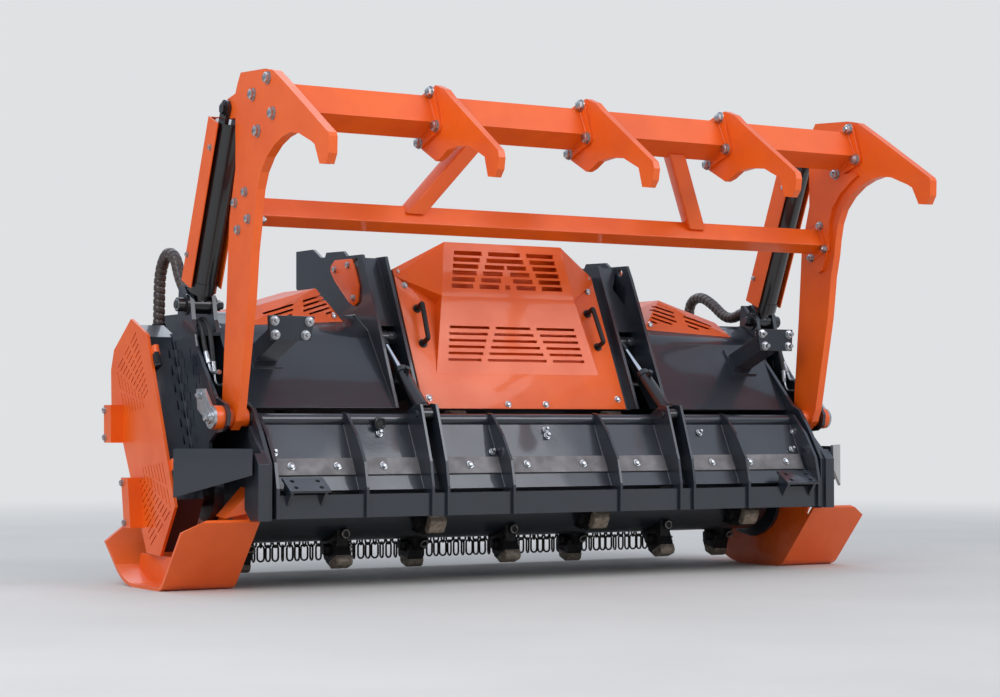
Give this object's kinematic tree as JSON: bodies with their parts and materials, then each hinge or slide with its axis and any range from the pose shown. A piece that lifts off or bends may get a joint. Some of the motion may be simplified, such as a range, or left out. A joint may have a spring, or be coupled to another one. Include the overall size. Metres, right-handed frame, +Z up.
{
  "type": "forestry mulcher",
  "caption": "Tractor-mounted forestry mulcher with a rotor of bolted hammers, a hinged front door, a claw-bearing push frame on cylinders, louvred guards and side skids.",
  "frame": {"origin": "middle of the machine's width and length, on the soles of the skids", "axes": "+Z up, +X to the right as seen from its front, +Y rearward to the tractor"},
  "size_m": [2.836, 1.702, 1.704],
  "materials": {
    "orange_paint": "gloss orange enamel",
    "grey_paint": "gloss anthracite enamel",
    "black_paint": "gloss black enamel",
    "worn_steel": "bare rolled steel",
    "zinc_steel": "zinc plated",
    "chromed_rod": "hard chrome",
    "hose_rubber": "spiral-wrapped hose",
    "belt_rubber": "grooved drive belt",
    "black_plastic": "grained black plastic"
  },
  "bodies": {
    "body": {"side_plate_left": "grey_paint", "side_plate_right": "grey_paint", "hood_left": "grey_paint", "hood_right": "grey_paint", "mast_left": "grey_paint", "mast_right": "grey_paint", "center_cover": "orange_paint", "cover_handles": "black_plastic", "gearbox": "grey_paint", "rear_frame": "grey_paint", "chain_curtain": "worn_steel", "drive_grille_left": "orange_paint", "drive_grille_right": "orange_paint", "drive_case_left": "grey_paint", "drive_case_right": "grey_paint", "skid_left": "orange_paint", "skid_right": "orange_paint", "pivot_pin_left": "zinc_steel", "pivot_pin_right": "zinc_steel", "hose_left": "hose_rubber", "hose_right": "hose_rubber", "drive_belts": "belt_rubber"},
    "rotor": {"rotor_drum": "grey_paint", "rotor_tools": "worn_steel"},
    "drive_pulleys": {"drive_pulleys": "worn_steel"},
    "door": {"door_tube": "grey_paint", "door_panel": "grey_paint", "door_ribs": "grey_paint", "door_beam": "grey_paint", "door_wear_strip": "worn_steel"},
    "push_frame": {"arm_left": "orange_paint", "arm_right": "orange_paint", "top_beam": "orange_paint", "lower_beam": "orange_paint", "frame_braces": "orange_paint", "claws": "orange_paint"},
    "side_cover_left": {"side_cover_left": "orange_paint"},
    "side_cover_right": {"side_cover_right": "orange_paint"},
    "push_barrel_left": {"push_barrel_left": "black_paint", "push_guard_left": "orange_paint"},
    "push_rod_left": {"push_rod_left": "chromed_rod"},
    "door_barrel_left": {"door_barrel_left": "black_paint"},
    "door_rod_left": {"door_rod_left": "chromed_rod"},
    "push_barrel_right": {"push_barrel_right": "black_paint", "push_guard_right": "orange_paint"},
    "push_rod_right": {"push_rod_right": "chromed_rod"},
    "door_barrel_right": {"door_barrel_right": "black_paint"},
    "door_rod_right": {"door_rod_right": "chromed_rod"}
  },
  "joints": [
    {"name": "rotor_spin", "type": "hinge", "parent": "body", "child": "rotor", "pos_m": [0, 0.15, 0.315], "axis": [1, 0, 0], "continuous": true},
    {"name": "door_swing", "type": "hinge", "parent": "body", "child": "door", "pos_m": [0, -0.116, 0.564], "axis": [-1, 0, 0], "range_deg": [0, 65]},
    {"name": "push_frame_swing", "type": "hinge", "parent": "body", "child": "push_frame", "pos_m": [0, -0.133, 0.572], "axis": [1, 0, 0], "range_deg": [0, 45]},
    {"name": "drive_pulleys_turn", "type": "hinge", "parent": "body", "child": "drive_pulleys", "pos_m": [0, 0.425, 0.76], "axis": [1, 0, 0], "continuous": true},
    {"name": "push_barrel_left_pivot", "type": "hinge", "parent": "push_frame", "child": "push_barrel_left", "pos_m": [-1.205, -0.106, 1.596], "axis": [1, 0, 0], "range_deg": [0, 3]},
    {"name": "push_rod_left_slide", "type": "slide", "parent": "push_barrel_left", "child": "push_rod_left", "axis": [0, 0.3843, -0.9232], "range_m": [0, 0.37]},
    {"name": "door_barrel_left_pivot", "type": "hinge", "parent": "door", "child": "door_barrel_left", "pos_m": [-0.515, -0.19, 0.585], "axis": [1, 0, 0], "range_deg": [0, 65.2]},
    {"name": "door_rod_left_slide", "type": "slide", "parent": "door_barrel_left", "child": "door_rod_left", "axis": [0, -0.7634, -0.6459], "range_m": [0, 0.084]},
    {"name": "side_cover_left_hinge", "type": "hinge", "parent": "body", "child": "side_cover_left", "pos_m": [-1.338, 0.243, 0.858], "axis": [0, 0.4026, 0.9154], "range_deg": [0, 100]},
    {"name": "push_barrel_right_pivot", "type": "hinge", "parent": "push_frame", "child": "push_barrel_right", "pos_m": [1.205, -0.106, 1.596], "axis": [1, 0, 0], "range_deg": [0, 3]},
    {"name": "push_rod_right_slide", "type": "slide", "parent": "push_barrel_right", "child": "push_rod_right", "axis": [0, 0.3843, -0.9232], "range_m": [0, 0.37]},
    {"name": "door_barrel_right_pivot", "type": "hinge", "parent": "door", "child": "door_barrel_right", "pos_m": [0.515, -0.19, 0.585], "axis": [1, 0, 0], "range_deg": [0, 65.2]},
    {"name": "door_rod_right_slide", "type": "slide", "parent": "door_barrel_right", "child": "door_rod_right", "axis": [0, -0.7634, -0.6459], "range_m": [0, 0.084]},
    {"name": "side_cover_right_hinge", "type": "hinge", "parent": "body", "child": "side_cover_right", "pos_m": [1.338, 0.243, 0.858], "axis": [0, -0.4026, -0.9154], "range_deg": [0, 100]}
  ],
  "couplings": [
    {"joint": "drive_pulleys_turn", "follows": "rotor_spin", "ratio": 0.86667},
    {"joint": "push_barrel_left_pivot", "follows": "push_frame_swing", "ratio": 0.05903},
    {"joint": "push_rod_left_slide", "follows": "push_frame_swing", "m_per_rad": 0.46875},
    {"joint": "door_barrel_left_pivot", "follows": "door_swing", "ratio": 0.99474},
    {"joint": "door_rod_left_slide", "follows": "door_swing", "m_per_rad": 0.07284},
    {"joint": "push_barrel_right_pivot", "follows": "push_frame_swing", "ratio": 0.05903},
    {"joint": "push_rod_right_slide", "follows": "push_frame_swing", "m_per_rad": 0.46875},
    {"joint": "door_barrel_right_pivot", "follows": "door_swing", "ratio": 0.99474},
    {"joint": "door_rod_right_slide", "follows": "door_swing", "m_per_rad": 0.07284}
  ]
}
